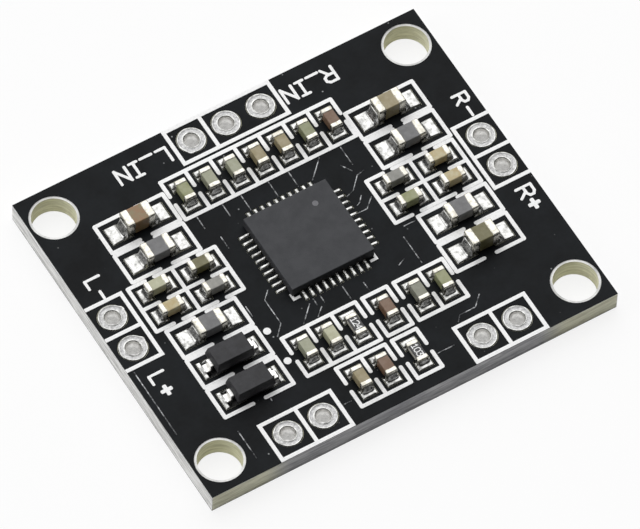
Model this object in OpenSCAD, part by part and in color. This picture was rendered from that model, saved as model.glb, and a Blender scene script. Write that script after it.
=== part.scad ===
// Stereo audio amplifier board: a glass-epoxy laminate between two layers of solder mask, with a
// printed legend, plated wire terminals at its edges, a flat no-lead amplifier chip in the middle and
// the surface-mounted capacitors, beads, diodes and resistors that the chip works with round it.
// Millimetres. The origin is the middle of the underside, and +Z is the side that carries the parts.

/* [Board] */
// Length of the board, along X
board_l = 29.4; // [28.8:0.1:36]
// Width of the board, along Y
board_w = 24.5; // [22:0.1:32]
// Thickness of the finished board, both mask layers included
board_t = 1.6; // [0.8:0.1:2.4]
// Thickness of one layer of solder mask
mask_t = 0.05; // [0.03:0.01:0.08]
// Bare strip that the mask leaves round each pad
mask_gap = 0.03; // [0.02:0.01:0.05]

/* [Mounting holes] */
// Diameter of a mounting hole
hole_d = 2.9; // [2:0.1:3.4]
// Laminate left between a hole and the short edge
hole_wall_x = 0.35; // [0.2:0.05:1]
// Laminate left between a hole and the long edge
hole_wall_y = 0.65; // [0.2:0.05:1]
// Bare ring that the mask leaves round a hole
hole_ring = 0.16; // [0.02:0.01:0.18]

/* [Wire terminals] */
// Bore of a plated wire hole
wire_d = 1; // [0.6:0.1:1.3]
// Wall of the plated barrel, with the tin that lines it
plating_t = 0.16; // [0.03:0.01:0.2]
// Diameter of the tinned ring round a wire hole
ring_d = 1.9; // [1.6:0.1:2.3]
// Spacing of neighbouring wire holes
wire_pitch = 2.54; // [2.4:0.01:3]
// Board left between the input rings and the rear edge
input_edge = 0.5; // [0.3:0.05:1]
// Board left between the speaker rings and the side edges
side_edge = 0.3; // [0.2:0.05:1]
// Board left between the front rings and the front edge
front_edge = 0.65; // [0.4:0.05:1]
// Distance of each front pair from the middle of the board
front_offset = 7.05; // [6.8:0.05:7.5]

/* [Amplifier chip] */
// Side of the square chip
chip_w = 6; // [5.5:0.1:7]
// Height of the chip
chip_h = 0.75; // [0.6:0.05:1]
// Distance of the chip from the middle of the board, along Y
chip_y = 0.73; // [0:0.01:1]
// Leads on one side of the chip
lead_count = 10; // [4:1:10]
// Spacing of the leads
lead_pitch = 0.5; // [0.4:0.05:0.55]
// Width of a lead
lead_w = 0.22; // [0.15:0.01:0.3]
// Length of a lead, in from the chip's side
lead_l = 0.4; // [0.3:0.05:0.6]
// Thickness of the leads and the heat pad
lead_t = 0.2; // [0.1:0.05:0.3]
// Side of the square heat pad under the chip
heat_pad_w = 4.1; // [3:0.1:4.4]
// Length of a lead's pad outside the chip
lead_reach = 0.7; // [0.4:0.05:0.9]

/* [Small chip parts] */
// Length of a small part
small_l = 1.6; // [1.4:0.05:1.8]
// Width of a small part
small_w = 0.8; // [0.6:0.05:0.95]
// Height of a small capacitor
small_h = 0.8; // [0.4:0.05:0.95]
// Height of a resistor
resistor_h = 0.45; // [0.35:0.05:0.6]
// Length of a small part's metal end
small_end = 0.35; // [0.2:0.05:0.5]
// Width of a small part's pads
small_pad_w = 1.05; // [0.95:0.05:1.2]
// Length of a small part's pads
small_pad_l = 0.78; // [0.6:0.02:0.95]
// How far a small part's pads reach past its ends
small_reach = 0.41; // [0.2:0.01:0.5]

/* [Large chip parts] */
// Length of a large part
large_l = 2; // [1.8:0.1:2.4]
// Width of a large part
large_w = 1.25; // [1:0.05:1.3]
// Height of a large capacitor
large_h = 1.25; // [0.6:0.05:1.4]
// Height of a bead
bead_h = 0.9; // [0.5:0.05:1.2]
// Length of a large capacitor's metal end
large_end = 0.52; // [0.3:0.02:0.6]
// Length of a bead's metal end
bead_end = 0.4; // [0.3:0.02:0.6]
// Width of a large part's pads
large_pad_w = 1.33; // [1.3:0.01:1.5]
// Length of a large part's pads
large_pad_l = 1.45; // [1.2:0.05:1.6]
// How far a large part's pads reach past its ends
large_reach = 1.1; // [0.9:0.05:1.3]

/* [Metal ends] */
// Thickness of the metal on a part's ends
end_t = 0.03; // [0.02:0.01:0.05]
// Radius of a part's long edges
edge_r = 0.09; // [0.06:0.01:0.15]

/* [Diodes] */
// Length of a diode's body
diode_l = 2.7; // [2.4:0.1:3]
// Width of a diode's body
diode_w = 1.6; // [1.4:0.05:1.8]
// Height of a diode
diode_h = 1.1; // [0.9:0.05:1.3]
// How far the body narrows above and below its parting line
diode_draft = 0.11; // [0.05:0.01:0.2]
// Length over both leads
diode_span = 3.7; // [3.6:0.1:3.9]
// Width of a lead
diode_lead_w = 0.6; // [0.4:0.05:1]
// Thickness of a lead
diode_lead_t = 0.14; // [0.1:0.01:0.2]

/* [Solder] */
// Thickness of the tinned pads
tin_t = 0.08; // [0.06:0.01:0.12]
// Share of a metal end's height that the solder climbs
solder_climb = 0.6; // [0.2:0.05:0.9]
// Foot of a solder fillet for each millimetre that it climbs
solder_foot = 0.75; // [0.3:0.05:1.2]

/* [Legend] */
// Thickness of the printed legend
print_t = 0.03; // [0.01:0.01:0.05]
// Width of a printed line
line_w = 0.26; // [0.15:0.01:0.3]
// Bare strip between a part's pads and its printed frame
frame_margin = 0.235; // [0.1:0.005:0.3]
// The same strip beside a large part, across its length
large_frame_margin = 0.315; // [0.2:0.005:0.4]
// Break in a small part's frame
small_break = 0.42; // [0.2:0.02:0.8]
// Break in a large part's frame
large_break = 0.65; // [0.4:0.05:1.2]
// Gap between the frames of neighbouring groups
group_gap = 0.02; // [0.02:0.01:0.2]
// Bare strip between a terminal's ring and its frame
terminal_margin = 0.25; // [0.1:0.05:0.4]
// Diameter of a diode's polarity dot
dot_d = 0.5; // [0.3:0.05:0.8]
// Arm of the marks at the chip's front corners
corner_arm = 0.55; // [0.3:0.05:0.65]
// Width of the marks' lines
corner_w = 0.19; // [0.1:0.01:0.25]
// Distance from the chip's front to the middle of a corner mark
corner_gap = 0.25; // [0.15:0.01:0.4]

/* [Places of the groups] */
// Middle of the row of input parts, along X
input_x = 0.37; // [0:0.01:0.8]
// Distance of the input parts' middle from the rear edge
input_depth = 4.79; // [4.5:0.01:5]
// Distance of the left group's middle from the left edge
left_depth = 6.08; // [5.9:0.01:6.4]
// Shift of the left group's small parts, towards the chip
left_shift = 0.17; // [0:0.01:0.4]
// Rear edge of the left group's frames, behind the chip's middle
left_rise = 7.66; // [7.3:0.01:7.9]
// Distance of the right group's middle from the right edge
right_depth = 5.41; // [5.3:0.01:5.7]
// Shift of the right group's small parts, towards the chip
right_shift = 0.77; // [0.3:0.01:0.9]
// Rear edge of the right group's frames, behind the chip's middle
right_rise = 7.03; // [6.9:0.01:7.5]
// Left edge of the control parts' frames
control_left = -5.28; // [-5.4:0.01:-5.1]
// Gap between the control parts' frames, along X
control_gap = 0.24; // [0.15:0.01:0.35]
// Distance of the front control row's middle from the front edge
control_depth = 2.53; // [2.3:0.01:2.6]
// Gap between the two control rows' frames
control_row_gap = 0.15; // [0.1:0.01:0.3]

/* [Hidden] */
$fn = 64;
// Steps of a printed line's round end and of a part's round edge
end_steps = 8;
edge_steps = 3;
// Overshoot of a cut past the face that it opens
cut = 1;
// Height of the widest band of a diode's body and the gap under the body
diode_band_z = 0.5;
diode_clear = 0.05;
// Length of a diode's lead between its body and its bend
diode_stub = 0.08;
// Share of a flat lead's thickness that the solder climbs
lead_climb = 0.85;
// Width of the round lip inside a terminal's rim
rim = 0.06;

// Levels above the underside
laminate_top = board_t - mask_t;
seat = laminate_top + tin_t;

// Kinds of two-ended part: length, width, height, metal end, pad width, pad length, pad reach,
// frame margin across the length, break in the frame
SMALL_CAPACITOR = [small_l, small_w, small_h, small_end, small_pad_w, small_pad_l, small_reach,
                   frame_margin, small_break];
RESISTOR = [small_l, small_w, resistor_h, small_end, small_pad_w, small_pad_l, small_reach,
            frame_margin, small_break];
LARGE_CAPACITOR = [large_l, large_w, large_h, large_end, large_pad_w, large_pad_l, large_reach,
                   large_frame_margin, large_break];
BEAD = [large_l, large_w, bead_h, bead_end, large_pad_w, large_pad_l, large_reach,
        large_frame_margin, large_break];
// A diode stands on a large part's pads, so its kind differs only in its height
DIODE = [large_l, large_w, diode_h, 0, large_pad_w, large_pad_l, large_reach,
         large_frame_margin, large_break];

function kind_l(k) = k[0];
function kind_w(k) = k[1];
function kind_h(k) = k[2];
function kind_end(k) = k[3];
function pad_w(k) = k[4];
function pad_l(k) = k[5];
function pad_out(k) = k[0] / 2 + k[6];
// Outside of the printed frame, along and across the part
function frame_l(k) = 2 * (pad_out(k) + frame_margin + line_w);
function frame_w(k) = pad_w(k) + 2 * (k[7] + line_w);
function frame_break(k) = k[8];

// Neighbouring small frames share a line, and neighbouring large frames touch
small_step = frame_w(SMALL_CAPACITOR) - line_w;
small_step_l = frame_l(SMALL_CAPACITOR) - line_w;
large_step = frame_w(BEAD);
grid_w = 2 * frame_w(SMALL_CAPACITOR) - line_w;

// Rows of the left and right groups, from the rear edge of each group forwards
function large_row(top, i) = top - (i + 0.5) * large_step;
function grid_top(top) = top - 2 * large_step - group_gap;
function grid_row(top, i) = grid_top(top) - frame_w(SMALL_CAPACITOR) / 2 - i * small_step;
function lower_top(top) = grid_top(top) - grid_w - group_gap;

// Middles of the groups, from the board's edges and the chip
input_y = board_w / 2 - input_depth;
left_x = left_depth - board_l / 2;
left_top = chip_y + left_rise;
right_x = board_l / 2 - right_depth;
right_top = chip_y + right_rise;
control_front_y = control_depth - board_w / 2;
control_rear_y = control_front_y + frame_l(SMALL_CAPACITOR) + control_row_gap;

// Columns of the control rows
function control_column(left, i) = left + frame_w(SMALL_CAPACITOR) / 2 + i * small_step;
function row_end(left, count) = left + frame_w(SMALL_CAPACITOR) + (count - 1) * small_step;
control_split = row_end(control_left, 3);
control_middle = control_split + control_gap;
control_right = row_end(control_middle, 1) + control_gap;
control_front_left = control_split - row_end(0, 2);

// Turn of a part that lies along X or along Y
ALONG_X = 0;
ALONG_Y = 90;

// Each two-ended part: node, kind, place, turn, group, colour
function small_grid(side, x, top, colours) = [
    for (row = [0:1]) for (column = [0:1])
        [str(side, "_small_capacitor_", 2 * row + column + 1), SMALL_CAPACITOR,
         [x + (column - 0.5) * small_step_l, grid_row(top, row)], ALONG_X,
         str(side, "_grid"), colours[2 * row + column]]];

PARTS = concat(
    [for (i = [0:6])
        [str("input_capacitor_", i + 1), SMALL_CAPACITOR, [input_x + (i - 3) * small_step, input_y],
         ALONG_Y, "input", ["olive", "olive", "olive", "tan", "tan", "olive", "sienna"][i]]],
    [["left_rear_capacitor", LARGE_CAPACITOR, [left_x, large_row(left_top, 0)], ALONG_X,
      "left_rear", "tan"],
     ["left_rear_bead", BEAD, [left_x, large_row(left_top, 1)], ALONG_X, "left_rear", "dimgray"]],
    small_grid("left", left_x + left_shift, left_top, ["beige", "olive", "tan", "gray"]),
    [["left_front_bead", BEAD, [left_x, large_row(lower_top(left_top), 0)], ALONG_X,
      "left_front", "dimgray"],
     ["rear_diode", DIODE, [left_x, large_row(lower_top(left_top), 1)], ALONG_X, "diode", "black"],
     ["front_diode", DIODE, [left_x, large_row(lower_top(left_top), 2)], ALONG_X, "diode", "black"],
     ["right_rear_capacitor", LARGE_CAPACITOR, [right_x, large_row(right_top, 0)], ALONG_X,
      "right_rear", "tan"],
     ["right_rear_bead", BEAD, [right_x, large_row(right_top, 1)], ALONG_X, "right_rear", "dimgray"]],
    small_grid("right", right_x - right_shift, right_top, ["gray", "tan", "olive", "tan"]),
    [["right_front_bead", BEAD, [right_x, large_row(lower_top(right_top), 0)], ALONG_X,
      "right_front", "dimgray"],
     ["right_front_capacitor", LARGE_CAPACITOR, [right_x, large_row(lower_top(right_top), 1)], ALONG_X,
      "right_front", "tan"]],
    [for (i = [0:1])
        [str("control_capacitor_", i + 1), SMALL_CAPACITOR,
         [control_column(control_left, i), control_rear_y], ALONG_Y, "control", "olive"]],
    [["control_resistor_1", RESISTOR, [control_column(control_left, 2), control_rear_y],
      ALONG_Y, "control", "black"],
     ["control_capacitor_3", SMALL_CAPACITOR, [control_column(control_middle, 0), control_rear_y],
      ALONG_Y, "control", "sienna"]],
    [for (i = [0:1])
        [str("control_capacitor_", i + 4), SMALL_CAPACITOR,
         [control_column(control_right, i), control_rear_y], ALONG_Y, "control", "olive"]],
    [for (i = [0:1])
        [str("control_capacitor_", i + 6), SMALL_CAPACITOR,
         [control_column(control_front_left, i), control_front_y], ALONG_Y,
         "control", ["tan", "sienna"][i]]],
    [["control_resistor_2", RESISTOR, [control_column(control_middle, 0), control_front_y],
      ALONG_Y, "control", "black"]]);

function name_of(part) = part[0];
function kind_of(part) = part[1];
function place_of(part) = part[2];
function turn_of(part) = part[3];
function group_of(part) = part[4];
function colour_of(part) = part[5];

END_GROUPS = ["input", "left_rear", "left_grid", "left_front", "right_rear", "right_grid", "right_front",
              "control"];
// Groups of solder joints, each with the groups of parts that it holds
SOLDER_GROUPS = [["input", ["input"]], ["left", ["left_rear", "left_grid", "left_front", "diode"]],
                 ["right", ["right_rear", "right_grid", "right_front"]], ["control", ["control"]]];

// Wire terminals: the place of each ring, by group
side_x = board_l / 2 - side_edge - ring_d / 2;
rear_y = board_w / 2 - input_edge - ring_d / 2;
front_y = -board_w / 2 + front_edge + ring_d / 2;
function spread(count) = [for (i = [0:count - 1]) (i - (count - 1) / 2) * wire_pitch];
TERMINALS = [["input", [for (s = spread(3)) [s, rear_y]]],
             ["left", [for (s = spread(2)) [-side_x, chip_y + s]]],
             ["right", [for (s = spread(2)) [side_x, chip_y + s]]],
             ["front_left", [for (s = spread(2)) [-front_offset + s, front_y]]],
             ["front_right", [for (s = spread(2)) [front_offset + s, front_y]]]];

// Points of an arc about a centre, and of a rectangle with round corners
function arc(x, y, r, from, to, steps) = [
    for (i = [0:steps]) let (a = from + (to - from) * i / steps) [x + r * cos(a), y + r * sin(a)]];
function round_rectangle(w, h, r) = concat(
    arc(w / 2 - r, h / 2 - r, r, 0, 90, edge_steps),
    arc(r - w / 2, h / 2 - r, r, 90, 180, edge_steps),
    arc(r - w / 2, r - h / 2, r, 180, 270, edge_steps),
    arc(w / 2 - r, r - h / 2, r, 270, 360, edge_steps));

// A bar along X with round long edges, and a plate along X from a profile in X and Z
module bar(l, w, h, r) {
    rotate([90, 0, 90]) linear_extrude(l, center = true) polygon(round_rectangle(w, h, r));
}
module profile_plate(points, w) {
    rotate([90, 0, 0]) linear_extrude(w, center = true) polygon(points);
}
module box(x, y, w, l, low, high) {
    translate([x - w / 2, y - l / 2, low]) cube([w, l, high - low]);
}

// What a part needs is placed on its seat, turned the way that it lies, or done at both its ends
module placed(part) {
    translate([place_of(part).x, place_of(part).y, seat]) rotate(turn_of(part)) children();
}
module both_ends() {
    for (turn = [0, 180]) rotate(turn) children();
}
module each_hole() {
    for (x = [-1, 1]) for (y = [-1, 1])
        translate([x * (board_l / 2 - hole_wall_x - hole_d / 2),
                   y * (board_w / 2 - hole_wall_y - hole_d / 2)]) children();
}
module each_terminal() {
    for (group = TERMINALS) for (p = group[1]) translate(p) children();
}
module each_lead() {
    translate([0, chip_y]) for (side = [0:3]) rotate(90 * side) for (i = [0:lead_count - 1])
        translate([chip_w / 2, (i - (lead_count - 1) / 2) * lead_pitch]) children();
}

module board_laminate() {
    color("darkkhaki") difference() {
        box(0, 0, board_l, board_w, mask_t, laminate_top);
        each_hole() translate([0, 0, -cut]) cylinder(d = hole_d, h = board_t + 2 * cut);
        each_terminal() translate([0, 0, -cut])
            cylinder(d = wire_d + 2 * plating_t, h = board_t + 2 * cut);
    }
}

// One layer of mask, open at the holes and round the rings of the terminals
module mask_layer(low) {
    difference() {
        box(0, 0, board_l, board_w, low, low + mask_t);
        each_hole() translate([0, 0, low - cut])
            cylinder(d = hole_d + 2 * hole_ring, h = mask_t + 2 * cut);
        each_terminal() translate([0, 0, low - cut])
            cylinder(d = ring_d + 2 * mask_gap, h = mask_t + 2 * cut);
    }
}
// The upper layer is open round every pad as well
module top_solder_mask() {
    low = laminate_top - cut;
    high = board_t + cut;
    color("#1b1c20") difference() {
        mask_layer(laminate_top);
        for (part = PARTS) let (k = kind_of(part))
            translate(place_of(part)) rotate(turn_of(part)) both_ends()
                box(pad_out(k) - pad_l(k) / 2, 0, pad_l(k) + 2 * mask_gap, pad_w(k) + 2 * mask_gap,
                    low, high);
        each_lead() box((lead_reach - lead_l) / 2, 0, lead_reach + lead_l + 2 * mask_gap,
                        lead_w + 2 * mask_gap, low, high);
        box(0, chip_y, heat_pad_w + 2 * mask_gap, heat_pad_w + 2 * mask_gap, low, high);
    }
}
module bottom_solder_mask() {
    color("#1b1c20") mask_layer(0);
}

// Half of a part's printed frame: three sides drawn with a round pen, open at the part's middle
module half_frame(k) {
    l = (frame_l(k) - line_w) / 2;
    w = (frame_w(k) - line_w) / 2;
    start = (frame_break(k) + line_w) / 2;
    r = line_w / 2;
    polygon(concat(arc(l, -w, r, 270, 360, edge_steps), arc(l, w, r, 0, 90, edge_steps),
                   arc(start, w, r, 90, 270, end_steps), [[l - r, w - r], [l - r, r - w]],
                   arc(start, -w, r, 90, 270, end_steps)));
}
module line(x, y, w, l) {
    translate([x, y]) square([w, l], center = true);
}
// A frame round a row of terminals along X, from the board's edge inwards, with a line at each
// place in walls
module terminal_frame(count, depth, walls, closed) {
    w = count * wire_pitch + line_w;
    line(0, depth - line_w / 2, w, line_w);
    for (x = concat([-w + line_w, w - line_w] / 2, walls)) line(x, depth / 2, line_w, depth);
    if (closed) line(0, line_w / 2, w, line_w);
}
// An angle in front of one corner of the chip, kept clear of the nearest lead
module corner_mark() {
    x = chip_w / 2;
    y = -chip_w / 2 - corner_gap;
    room = x + corner_w / 2 - ((lead_count - 1) * lead_pitch + lead_w) / 2 - 2 * mask_gap;
    arm = min(corner_arm, room);
    line(x + (corner_w - arm) / 2, y, arm, corner_w);
    line(x, y + (arm - corner_w) / 2, corner_w, arm);
}
module printed_legend() {
    margin = ring_d + terminal_margin + line_w;
    color("white") translate([0, 0, board_t]) linear_extrude(print_t) {
        for (part = PARTS) translate(place_of(part)) rotate(turn_of(part))
            both_ends() half_frame(kind_of(part));
        translate([0, board_w / 2]) rotate(180)
            terminal_frame(3, input_edge + margin, [wire_pitch / 2], true);
        for (x = [-1, 1]) {
            translate([x * board_l / 2, chip_y]) rotate(x * 90)
                terminal_frame(2, side_edge + margin, [0], false);
            translate([x * front_offset, -board_w / 2])
                terminal_frame(2, front_edge + margin, [0], true);
        }
        for (part = PARTS) if (kind_of(part) == DIODE)
            translate(place_of(part))
                translate([(frame_l(DIODE) + line_w + dot_d) / 2, frame_w(DIODE) / 2 - line_w - dot_d])
                    circle(d = dot_d);
        translate([0, chip_y]) for (x = [0, 1]) mirror([x, 0]) corner_mark();
    }
}

// A plated wire hole: a barrel through the laminate with a tinned ring on each face
module terminal() {
    r = wire_d / 2;
    color("silver") rotate_extrude() polygon([
        [r, 0], [ring_d / 2, 0], [ring_d / 2, mask_t], [r + plating_t, mask_t],
        [r + plating_t, laminate_top], [ring_d / 2, laminate_top], [ring_d / 2, board_t],
        [ring_d / 2 - rim, seat], [r + rim, seat], [r, seat - rim]]);
}
module terminals(places) {
    for (p = places) translate(p) terminal();
}

module lead_box() {
    box(-lead_l / 2, 0, lead_l, lead_w, seat, seat + lead_t);
}
module chip_leads() {
    color("silver") each_lead() lead_box();
}
module chip_heat_pad() {
    color("silver") box(0, chip_y, heat_pad_w, heat_pad_w, seat, seat + lead_t);
}
module amplifier_chip() {
    color("#3c3d41") difference() {
        box(0, chip_y, chip_w, chip_w, seat, seat + chip_h);
        each_lead() box((cut - lead_l) / 2, 0, lead_l + cut, lead_w, seat - cut, seat + lead_t);
        box(0, chip_y, heat_pad_w, heat_pad_w, seat - cut, seat + lead_t);
    }
}

// Solder against an upright face at x: it climbs to height, hollow, and runs out onto the pad
module fillet(x, height, foot, w) {
    slope = [for (p = arc(1, 1, 1, 270, 180, 2 * edge_steps)) [x + foot * p.x, height * p.y]];
    profile_plate(concat([[x, -tin_t / 2], [x + foot, -tin_t / 2]], slope), w);
}
module chip_solder() {
    color("lightgray") {
        each_lead() translate([0, 0, seat]) {
            box((lead_reach - lead_l) / 2, 0, lead_reach + lead_l, lead_w, -tin_t, 0);
            fillet(0, lead_climb * lead_t, lead_reach / 2, lead_w);
        }
        box(0, chip_y, heat_pad_w, heat_pad_w, laminate_top, seat);
    }
}

// The core of a two-ended part, which its metal ends fit over
module core(k) {
    translate([0, 0, kind_h(k) / 2])
        bar(kind_l(k) - 2 * end_t, kind_w(k) - 2 * end_t, kind_h(k) - 2 * end_t, edge_r - end_t);
}
module metal_ends(k) {
    difference() {
        both_ends() translate([(kind_l(k) - kind_end(k)) / 2, 0, kind_h(k) / 2])
            bar(kind_end(k), kind_w(k), kind_h(k), edge_r);
        core(k);
    }
}
module group_ends(group) {
    color("silver") for (part = PARTS) if (group_of(part) == group)
        placed(part) metal_ends(kind_of(part));
}

// A moulded body that is widest at its parting line, where the leads come out
module diode_body() {
    module slab(draft, low, high) {
        box(0, 0, diode_l - 2 * draft, diode_w - 2 * draft, low, high);
    }
    band = [diode_band_z - diode_lead_t / 2, diode_band_z + diode_lead_t / 2];
    hull() {
        slab(diode_draft, diode_clear, band[0]);
        slab(0, band[0], band[1]);
        slab(diode_draft, band[1], diode_h);
    }
}
// A flat lead that leaves the body at the parting line and bends down to its foot
module diode_lead() {
    t = diode_lead_t;
    start = diode_l / 2;
    bend = start + diode_stub;
    low = diode_band_z - t / 2;
    profile_plate([[start, low], [bend, low], [bend, 0], [diode_span / 2, 0], [diode_span / 2, t],
                   [bend + t, t], [bend + t, low + t], [start, low + t]], diode_lead_w);
}
module diode_leads() {
    color("silver") for (part = PARTS) if (kind_of(part) == DIODE) placed(part) both_ends() diode_lead();
}

module part_body(part) {
    color(colour_of(part)) placed(part)
        if (kind_of(part) == DIODE) diode_body(); else core(kind_of(part));
}

// A tinned pad under each end of a part, with the solder that holds the end
module solder_joint(k) {
    box(pad_out(k) - pad_l(k) / 2, 0, pad_l(k), pad_w(k), -tin_t, 0);
    if (k == DIODE)
        fillet(diode_span / 2, lead_climb * diode_lead_t, diode_lead_t, diode_lead_w);
    else
        let (climb = solder_climb * kind_h(k))
            fillet(kind_l(k) / 2, climb, min(solder_foot * climb, k[6]), kind_w(k) - 2 * edge_r);
}
module group_solder(groups) {
    color("lightgray") for (group = groups) for (part = PARTS) if (group_of(part) == group)
        placed(part) both_ends() solder_joint(kind_of(part));
}

board_laminate();
top_solder_mask();
bottom_solder_mask();
printed_legend();
for (group = TERMINALS) terminals(group[1]);
amplifier_chip();
chip_leads();
chip_heat_pad();
chip_solder();
for (part = PARTS) part_body(part);
for (group = END_GROUPS) group_ends(group);
diode_leads();
for (group = SOLDER_GROUPS)
    group_solder(group[1]);
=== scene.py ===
# %% [markdown]
# # A small stereo amplifier board
# The board is a black printed circuit board with white printed frames. A flat square chip sits in the
# middle, and rows of tiny capacitors, beads, diodes and resistors are soldered round it. The solid
# model already has every part at its true size, so this lesson loads it as a fixed frame and then
# works on what the eye sees: solder, print, traces under the mask, and the finish of each material.

# %% Load the solid model
import math

import bmesh
import bpy
from mathutils import Matrix, Quaternion, Vector, noise


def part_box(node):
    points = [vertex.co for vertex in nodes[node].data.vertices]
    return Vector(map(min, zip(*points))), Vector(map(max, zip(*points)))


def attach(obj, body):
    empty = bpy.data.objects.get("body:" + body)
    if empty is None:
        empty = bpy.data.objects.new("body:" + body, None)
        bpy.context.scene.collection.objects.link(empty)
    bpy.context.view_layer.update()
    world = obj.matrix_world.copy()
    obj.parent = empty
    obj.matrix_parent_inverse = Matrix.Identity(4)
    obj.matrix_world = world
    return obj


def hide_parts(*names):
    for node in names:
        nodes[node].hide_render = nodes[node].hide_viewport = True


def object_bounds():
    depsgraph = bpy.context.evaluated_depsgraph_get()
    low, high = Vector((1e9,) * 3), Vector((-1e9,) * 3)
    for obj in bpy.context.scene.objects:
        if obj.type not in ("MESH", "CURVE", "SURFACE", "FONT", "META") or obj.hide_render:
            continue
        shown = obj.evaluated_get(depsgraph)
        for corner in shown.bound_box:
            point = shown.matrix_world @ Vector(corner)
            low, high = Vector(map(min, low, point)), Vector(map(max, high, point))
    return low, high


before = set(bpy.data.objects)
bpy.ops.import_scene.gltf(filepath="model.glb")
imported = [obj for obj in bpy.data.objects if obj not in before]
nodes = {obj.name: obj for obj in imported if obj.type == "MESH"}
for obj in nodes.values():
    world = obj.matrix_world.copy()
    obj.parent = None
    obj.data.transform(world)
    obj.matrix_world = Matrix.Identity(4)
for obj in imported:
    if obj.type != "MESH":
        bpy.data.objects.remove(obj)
cad_low, cad_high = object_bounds()
MM = 0.001
print(len(nodes), "solid pieces in a box of", [round(v / MM, 2) for v in cad_high - cad_low], "mm")

# %% [markdown]
# ## The camera
# The photograph looks down on the board from its front left with a long lens, so the edges stay almost
# parallel. A camera can be placed by eye, but here its place was worked out from the four corners of the
# board, so that each part of the render can be laid over the photograph. The small roll is the tilt of
# the hand that held the real camera.

# %% Make the camera
CAMERA_PLACE = Vector((-173.229, -261.099, 505.185)) * MM
CAMERA_AIM = Vector((-0.2821, -1.1327, 1.6)) * MM
CAMERA_ROLL = math.radians(3.04)
FOCAL_LENGTH = 534.4

camera_data = bpy.data.cameras.new("camera")
camera_data.sensor_fit = "HORIZONTAL"
camera_data.sensor_width = 36
camera_data.lens = FOCAL_LENGTH
camera = bpy.data.objects.new("camera", camera_data)
bpy.context.scene.collection.objects.link(camera)
camera.location = CAMERA_PLACE
look = (CAMERA_AIM - CAMERA_PLACE).to_track_quat("-Z", "Y")
camera.rotation_euler = (look @ Quaternion((0, 0, 1), CAMERA_ROLL)).to_euler()
bpy.context.scene.camera = camera
print("camera", round((CAMERA_AIM - CAMERA_PLACE).length / MM), "mm from the board")

# %% [markdown]
# ## Building a material
# Every finish below is a small graph of nodes. Two helpers keep the graphs readable: one turns a colour
# as a designer writes it, in hex, into the linear values that Blender mixes, and one adds a node with its
# settings and its links. Patterns read Object coordinates, which are metres on this model, so a pattern's
# scale is worked out from the size of the real grain in millimetres.

# %% Helpers for materials
def linear(code):
    """The linear colour of an sRGB hex value such as #1d2024."""
    parts = [int(code[i:i + 2], 16) / 255 for i in (1, 3, 5)]
    return [p / 12.92 if p <= 0.04045 else ((p + 0.055) / 1.055) ** 2.4 for p in parts] + [1]


def add(tree, kind, settings=None, inputs=None):
    """Add a node: settings are its properties, and inputs are values or other nodes' outputs."""
    node = tree.nodes.new(kind)
    for key, value in (settings or {}).items():
        setattr(node, key, value)
    for key, value in (inputs or {}).items():
        if isinstance(value, bpy.types.NodeSocket):
            tree.links.new(value, node.inputs[key])
        else:
            node.inputs[key].default_value = value
    return node


def start(name, **shader_values):
    """A new material: its tree, its Principled shader and the Object coordinates to build on."""
    material = bpy.data.materials.new(name)
    material.use_nodes = True
    tree = material.node_tree
    shader = tree.nodes["Principled BSDF"]
    for key, value in shader_values.items():
        shader.inputs[key.replace("_", " ")].default_value = value
    return material, tree, shader, add(tree, "ShaderNodeTexCoord").outputs["Object"]


def grain(size_mm):
    """The scale of a noise whose grains are about this wide."""
    return 1 / (size_mm * MM)


print("a grain of 0.1 mm is a noise scale of", round(grain(0.1)))

# %% [markdown]
# ## Surfaces that vary
# No real surface is one flat colour. Most of the finishes here share one recipe: a noise moves the colour
# between two close tones, the same or a second noise moves the roughness, and a fine noise raises a low
# relief. The recipe is written once, and each material calls it with its own tones and grain sizes.

# %% A varied surface
def vary(tree, shader, place, tones, blotch_mm, rough, grain_mm, relief_mm, contrast=(0.35, 0.65)):
    """Colour between two tones in blotches, roughness between two values, and a fine relief."""
    blotch = add(tree, "ShaderNodeTexNoise", None,
                 {"Vector": place, "Scale": grain(blotch_mm), "Detail": 4, "Roughness": 0.6})
    ramp = add(tree, "ShaderNodeMapRange", None,
               {"Value": blotch.outputs["Fac"], "From Min": contrast[0], "From Max": contrast[1]})
    colour = add(tree, "ShaderNodeMix", {"data_type": "RGBA"},
                 {"Factor": ramp.outputs["Result"], 6: linear(tones[0]), 7: linear(tones[1])})
    fine = add(tree, "ShaderNodeTexNoise", None,
               {"Vector": place, "Scale": grain(grain_mm), "Detail": 3})
    roughness = add(tree, "ShaderNodeMapRange", None,
                    {"Value": fine.outputs["Fac"], "From Min": 0.3, "From Max": 0.7,
                     "To Min": rough[0], "To Max": rough[1]})
    relief = add(tree, "ShaderNodeBump", None,
                 {"Height": fine.outputs["Fac"], "Distance": relief_mm * MM})
    tree.links.new(colour.outputs[2], shader.inputs["Base Color"])
    tree.links.new(roughness.outputs["Result"], shader.inputs["Roughness"])
    tree.links.new(relief.outputs["Normal"], shader.inputs["Normal"])
    return colour


print("one recipe for varied surfaces")
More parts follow.
